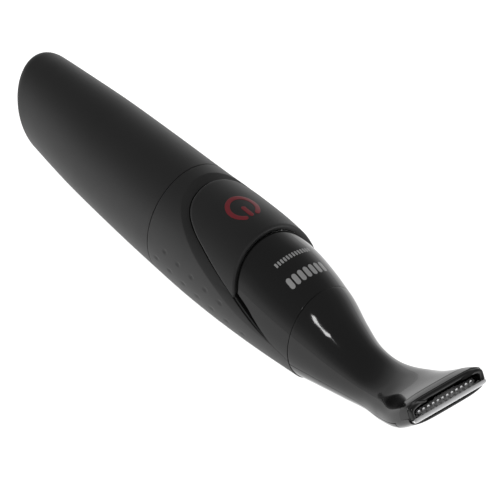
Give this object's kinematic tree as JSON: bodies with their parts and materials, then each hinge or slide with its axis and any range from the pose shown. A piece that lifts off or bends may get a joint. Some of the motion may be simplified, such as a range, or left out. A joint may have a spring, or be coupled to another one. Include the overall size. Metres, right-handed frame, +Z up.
{
  "type": "battery hair trimmer",
  "caption": "Slim battery detail trimmer: round handle with pull-off battery cap and press panel, and a clip-on curved T-shaped cutting head with a slotted steel guard and sliding cutter.",
  "frame": {"origin": "bottom centre of the bounding box of the whole trimmer lying on its back, on the small flat under the handle", "axes": "+X along the battery axis towards the cutting head, +Z up through the press panel, +Y across"},
  "size_m": [0.1406, 0.0286, 0.0285],
  "materials": {
    "cap_black": "fine matt moulding",
    "shell_black": "fine matt moulding",
    "key_black": "fine matt moulding",
    "nose_black": "polished",
    "head_black": "polished",
    "carrier_black": "polished",
    "sign_red": "moulded in",
    "frame_grey": "as moulded",
    "cell_sleeve": "plain printed sleeve",
    "contact_nickel": "plated and bent",
    "can_steel": "drawn and plated",
    "bell_white": "as moulded",
    "magnet_grey": "ground ferrite",
    "bush_bronze": "sintered",
    "shaft_steel": "ground",
    "copper": "turned",
    "acetal_white": "as moulded",
    "board_green": "solder mask",
    "switch_black": "as moulded",
    "guard_steel": "etched and polished"
  },
  "bodies": {
    "handle": {"rear_shell": "shell_black", "front_shell": "nose_black", "inner_frame": "frame_grey", "battery_cell": "cell_sleeve", "battery_terminal": "contact_nickel", "positive_contact": "contact_nickel", "negative_contact": "contact_nickel", "contact_strip": "contact_nickel", "motor_can": "can_steel", "motor_end_bell": "bell_white", "motor_magnets": "magnet_grey", "motor_bearing": "bush_bronze", "motor_terminals": "copper", "switch_board": "board_green", "switch_housing": "switch_black", "neck_collar": "frame_grey"},
    "cap": {"battery_cap": "cap_black"},
    "key": {"power_button": "key_black", "power_symbol": "sign_red"},
    "plunger": {"switch_plunger": "acetal_white"},
    "rotor": {"motor_shaft": "shaft_steel", "motor_armature": "shaft_steel", "motor_commutator": "copper", "drive_cam": "acetal_white", "drive_pin": "shaft_steel"},
    "head": {"head_front_cover": "head_black", "head_rear_cover": "head_black", "lever_pivot_pin": "shaft_steel", "blade_carrier": "carrier_black", "guard_comb": "guard_steel", "cutter_spring": "contact_nickel"},
    "lever": {"drive_lever": "acetal_white"},
    "cutter": {"cutter_blade": "guard_steel", "cutter_slider": "acetal_white"}
  },
  "joints": [
    {"name": "cap_slide", "type": "slide", "parent": "handle", "child": "cap", "axis": [-1, 0, 0], "range_m": [0, 0.06]},
    {"name": "key_press", "type": "slide", "parent": "handle", "child": "key", "axis": [0, 0, -1], "range_m": [0, 0.0005], "stiffness_N_per_m": 800},
    {"name": "plunger_press", "type": "slide", "parent": "handle", "child": "plunger", "axis": [0, 0, -1], "range_m": [0, 0.0005]},
    {"name": "rotor_spin", "type": "hinge", "parent": "handle", "child": "rotor", "pos_m": [0.00806, 0, 0.01245], "axis": [1, 0, 0], "continuous": true},
    {"name": "head_slide", "type": "slide", "parent": "handle", "child": "head", "axis": [1, 0, 0], "range_m": [0, 0.02]},
    {"name": "lever_rock", "type": "hinge", "parent": "head", "child": "lever", "pos_m": [0.04406, 0, 0.01165], "axis": [0, 0, 1], "range_deg": [-2.5, 2.5]},
    {"name": "cutter_slide", "type": "slide", "parent": "head", "child": "cutter", "axis": [0, 1, 0], "range_m": [-0.001, 0.001]}
  ],
  "couplings": [
    {"joint": "plunger_press", "follows": "key_press", "ratio": 1},
    {"joint": "cutter_slide", "follows": "lever_rock", "m_per_rad": 0.0228}
  ]
}
